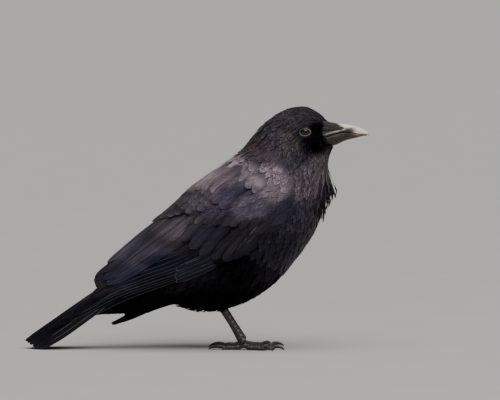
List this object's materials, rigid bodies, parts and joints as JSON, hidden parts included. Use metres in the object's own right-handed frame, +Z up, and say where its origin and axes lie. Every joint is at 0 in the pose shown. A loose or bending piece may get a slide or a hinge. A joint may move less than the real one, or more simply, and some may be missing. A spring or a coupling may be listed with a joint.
{
  "type": "crow",
  "caption": "Standing crow, a still life-size model with folded wings, closed tail, heavy pale bill and feet set flat on the ground.",
  "frame": {"origin": "on the ground under the middle of the bird's length and width", "axes": "+X the way the bird faces, +Y its left, +Z up"},
  "size_m": [0.3795, 0.1158, 0.2665],
  "materials": {
    "body_feathers": "soft body feathers, black with a mauve-brown bloom on the neck and back",
    "wing_feathers": "firm wing feathers, bluish black with a violet gloss and paler edges",
    "flight_feathers": "stiff flight feathers, glossy blue-black",
    "bill": "horn, grey and worn pale along its ridge",
    "eyes": "wet, nearly black with a brown iris",
    "legs": "scaled skin, dark grey and slightly glossy",
    "claws": "smooth black horn"
  },
  "bodies": {
    "root": {"head": "body_feathers", "neck": "body_feathers", "trunk": "body_feathers", "tail": "flight_feathers", "undertail_coverts": "body_feathers", "bill_upper": "bill", "bill_lower": "bill", "eye_right": "eyes", "nasal_bristles_right": "body_feathers", "scapulars_right": "wing_feathers", "wing_coverts_right": "wing_feathers", "tertials_right": "wing_feathers", "secondaries_right": "flight_feathers", "primaries_right": "flight_feathers", "thigh_right": "body_feathers", "tarsus_right": "legs", "toe_middle_right": "legs", "claw_middle_right": "claws", "toe_inner_right": "legs", "claw_inner_right": "claws", "toe_outer_right": "legs", "claw_outer_right": "claws", "toe_hind_right": "legs", "claw_hind_right": "claws", "eye_left": "eyes", "nasal_bristles_left": "body_feathers", "scapulars_left": "wing_feathers", "wing_coverts_left": "wing_feathers", "tertials_left": "wing_feathers", "secondaries_left": "flight_feathers", "primaries_left": "flight_feathers", "thigh_left": "body_feathers", "tarsus_left": "legs", "toe_middle_left": "legs", "claw_middle_left": "claws", "toe_inner_left": "legs", "claw_inner_left": "claws", "toe_outer_left": "legs", "claw_outer_left": "claws", "toe_hind_left": "legs", "claw_hind_left": "claws"}
  },
  "joints": []
}
